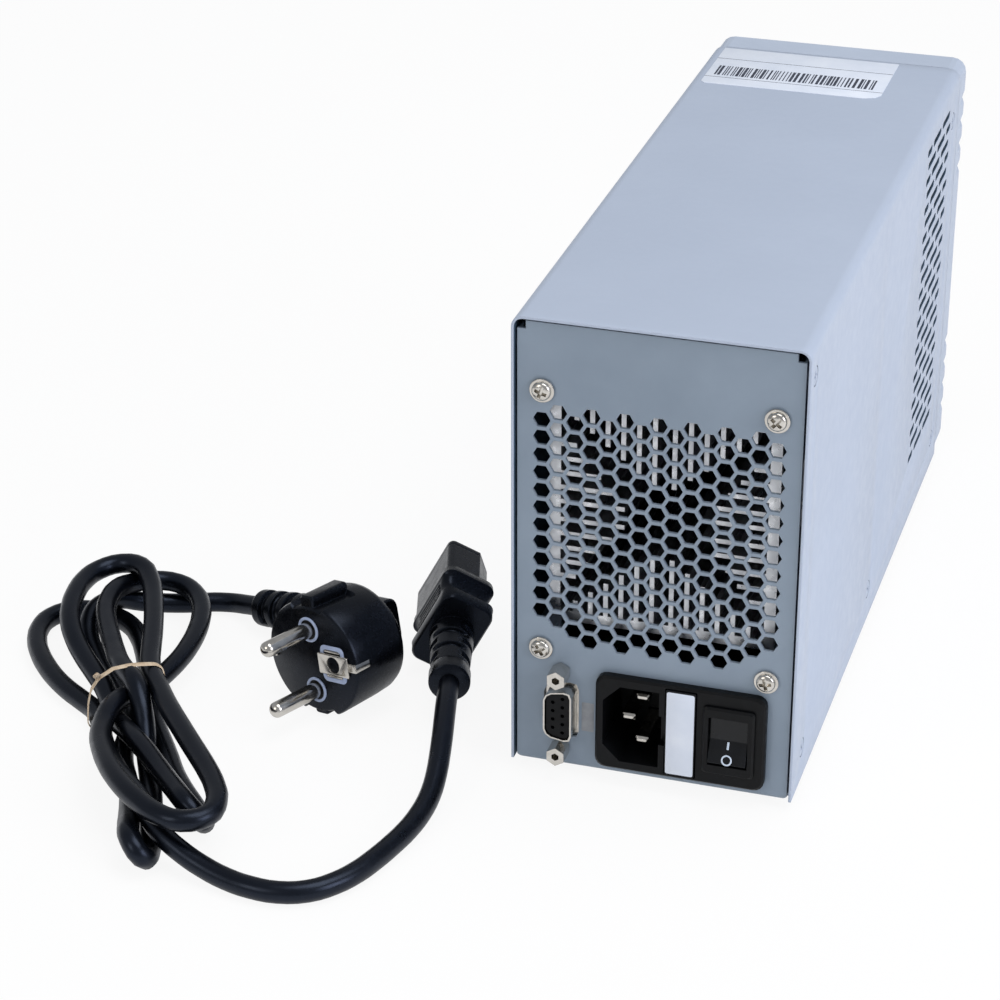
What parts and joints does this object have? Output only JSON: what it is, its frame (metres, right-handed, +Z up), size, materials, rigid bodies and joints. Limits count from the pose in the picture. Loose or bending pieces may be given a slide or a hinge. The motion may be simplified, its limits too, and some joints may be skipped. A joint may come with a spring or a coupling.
{
  "type": "dc electronic load",
  "caption": "Narrow bench DC electronic load with vented steel cover, rear hexagon grille, finned fan tunnel, power inlet with fuse drawer and rocker, serial port, front posts and mains lead.",
  "frame": {"origin": "on the floor under the middle of the instrument without its lead", "axes": "+Z up, front panel with the posts towards -Y, connector panel towards +Y, +X to the right seen from the front"},
  "size_m": [0.2487, 0.3524, 0.142],
  "materials": {
    "powder_coated_steel": "fine satin powder coat, light grey blue",
    "painted_panel": "satin paint, mid grey",
    "moulded_bezel": "fine moulded texture, light grey blue",
    "dark_panel": "matt dark overlay",
    "clear_window": "clear and glossy",
    "display_glass": "dark and glossy",
    "board_laminate": "green solder mask",
    "laminated_steel": "varnished steel laminations",
    "capacitor_sleeve": "shrink sleeve",
    "extruded_aluminium": "plain extruded",
    "black_moulding": "black, lightly textured",
    "rocker_plastic": "black, smooth",
    "fuse_glass": "glass tube with plated end caps",
    "nickel_plate": "nickel plate",
    "silicone_key": "matt moulded key",
    "knob_plastic": "matt, fluted",
    "post_plastic_negative": "black, smooth",
    "post_plastic_positive": "red, smooth",
    "black_rubber": "black cord jacket, satin"
  },
  "bodies": {
    "housing": {"chassis": "painted_panel", "connector_body": "black_rubber", "control_board": "board_laminate", "cord_hank": "black_rubber", "cord_tie": "black_moulding", "cover": "powder_coated_steel", "display_module": "display_glass", "display_window": "clear_window", "encoder": "nickel_plate", "fan_frame": "black_moulding", "front_bezel": "moulded_bezel", "front_panel": "dark_panel", "heatsink_left": "extruded_aluminium", "heatsink_right": "extruded_aluminium", "inlet_housing": "black_moulding", "inlet_pin_earth": "nickel_plate", "inlet_pin_line": "nickel_plate", "inlet_pin_neutral": "nickel_plate", "jackscrew_lower": "nickel_plate", "jackscrew_upper": "nickel_plate", "lead_to_connector": "black_rubber", "lead_to_plug": "black_rubber", "main_board": "board_laminate", "main_capacitor": "capacitor_sleeve", "mains_transformer": "laminated_steel", "panel_screw_1": "nickel_plate", "panel_screw_2": "nickel_plate", "panel_screw_3": "nickel_plate", "panel_screw_4": "nickel_plate", "plug_body": "black_rubber", "plug_earth_contact": "nickel_plate", "plug_pin_1": "nickel_plate", "plug_pin_2": "nickel_plate", "post_base_negative": "post_plastic_negative", "post_base_positive": "post_plastic_positive", "post_stud_negative": "nickel_plate", "post_stud_positive": "nickel_plate", "sense_socket_negative": "black_moulding", "sense_socket_positive": "black_moulding", "serial_insulator": "black_moulding", "serial_shell": "nickel_plate", "switch_housing": "black_moulding"},
    "fan": {"fan_rotor": "black_moulding"},
    "rocker": {"rocker": "rocker_plastic"},
    "drawer": {"fuse_drawer": "black_moulding", "fuse_cartridge": "fuse_glass"},
    "knob": {"knob": "knob_plastic", "encoder_shaft": "extruded_aluminium"},
    "key_soft_1": {"key_soft_1": "silicone_key"},
    "key_soft_2": {"key_soft_2": "silicone_key"},
    "key_soft_3": {"key_soft_3": "silicone_key"},
    "key_soft_4": {"key_soft_4": "silicone_key"},
    "key_mode_1": {"key_mode_1": "silicone_key"},
    "key_mode_2": {"key_mode_2": "silicone_key"},
    "key_mode_3": {"key_mode_3": "silicone_key"},
    "key_input": {"key_input": "silicone_key"},
    "clamp_negative": {"post_washer_negative": "nickel_plate"},
    "grip_negative": {"post_cap_negative": "post_plastic_negative"},
    "clamp_positive": {"post_washer_positive": "nickel_plate"},
    "grip_positive": {"post_cap_positive": "post_plastic_positive"}
  },
  "joints": [
    {"name": "fan_spin", "type": "hinge", "parent": "housing", "child": "fan", "pos_m": [0, -0.01895, 0.0807], "axis": [0, 1, 0], "continuous": true},
    {"name": "rocker_tilt", "type": "hinge", "parent": "housing", "child": "rocker", "pos_m": [-0.02295, 0.13065, 0.0211], "axis": [1, 0, 0], "range_deg": [-22, 0]},
    {"name": "fuse_drawer_slide", "type": "slide", "parent": "housing", "child": "drawer", "axis": [0, 1, 0], "range_m": [0, 0.02]},
    {"name": "knob_turn", "type": "hinge", "parent": "housing", "child": "knob", "pos_m": [0.017, -0.11175, 0.062], "axis": [0, -1, 0], "continuous": true},
    {"name": "key_soft_1_press", "type": "slide", "parent": "housing", "child": "key_soft_1", "axis": [0, 1, 0], "range_m": [0, 0.0008], "stiffness_N_per_m": 300},
    {"name": "key_soft_2_press", "type": "slide", "parent": "housing", "child": "key_soft_2", "axis": [0, 1, 0], "range_m": [0, 0.0008], "stiffness_N_per_m": 300},
    {"name": "key_soft_3_press", "type": "slide", "parent": "housing", "child": "key_soft_3", "axis": [0, 1, 0], "range_m": [0, 0.0008], "stiffness_N_per_m": 300},
    {"name": "key_soft_4_press", "type": "slide", "parent": "housing", "child": "key_soft_4", "axis": [0, 1, 0], "range_m": [0, 0.0008], "stiffness_N_per_m": 300},
    {"name": "key_mode_1_press", "type": "slide", "parent": "housing", "child": "key_mode_1", "axis": [0, 1, 0], "range_m": [0, 0.0008], "stiffness_N_per_m": 300},
    {"name": "key_mode_2_press", "type": "slide", "parent": "housing", "child": "key_mode_2", "axis": [0, 1, 0], "range_m": [0, 0.0008], "stiffness_N_per_m": 300},
    {"name": "key_mode_3_press", "type": "slide", "parent": "housing", "child": "key_mode_3", "axis": [0, 1, 0], "range_m": [0, 0.0008], "stiffness_N_per_m": 300},
    {"name": "key_input_press", "type": "slide", "parent": "housing", "child": "key_input", "axis": [0, 1, 0], "range_m": [0, 0.0008], "stiffness_N_per_m": 300},
    {"name": "post_lift_negative", "type": "slide", "parent": "housing", "child": "clamp_negative", "axis": [0, -1, 0], "range_m": [0, 0.0041]},
    {"name": "post_turn_negative", "type": "hinge", "parent": "clamp_negative", "child": "grip_negative", "pos_m": [-0.014, -0.11965, 0.027], "axis": [0, -1, 0], "range_deg": [0, 1440]},
    {"name": "post_lift_positive", "type": "slide", "parent": "housing", "child": "clamp_positive", "axis": [0, -1, 0], "range_m": [0, 0.0041]},
    {"name": "post_turn_positive", "type": "hinge", "parent": "clamp_positive", "child": "grip_positive", "pos_m": [0.014, -0.11965, 0.027], "axis": [0, -1, 0], "range_deg": [0, 1440]}
  ],
  "couplings": [
    {"joint": "post_lift_negative", "follows": "post_turn_negative", "m_per_rad": 0.00015915},
    {"joint": "post_lift_positive", "follows": "post_turn_positive", "m_per_rad": 0.00015915}
  ]
}
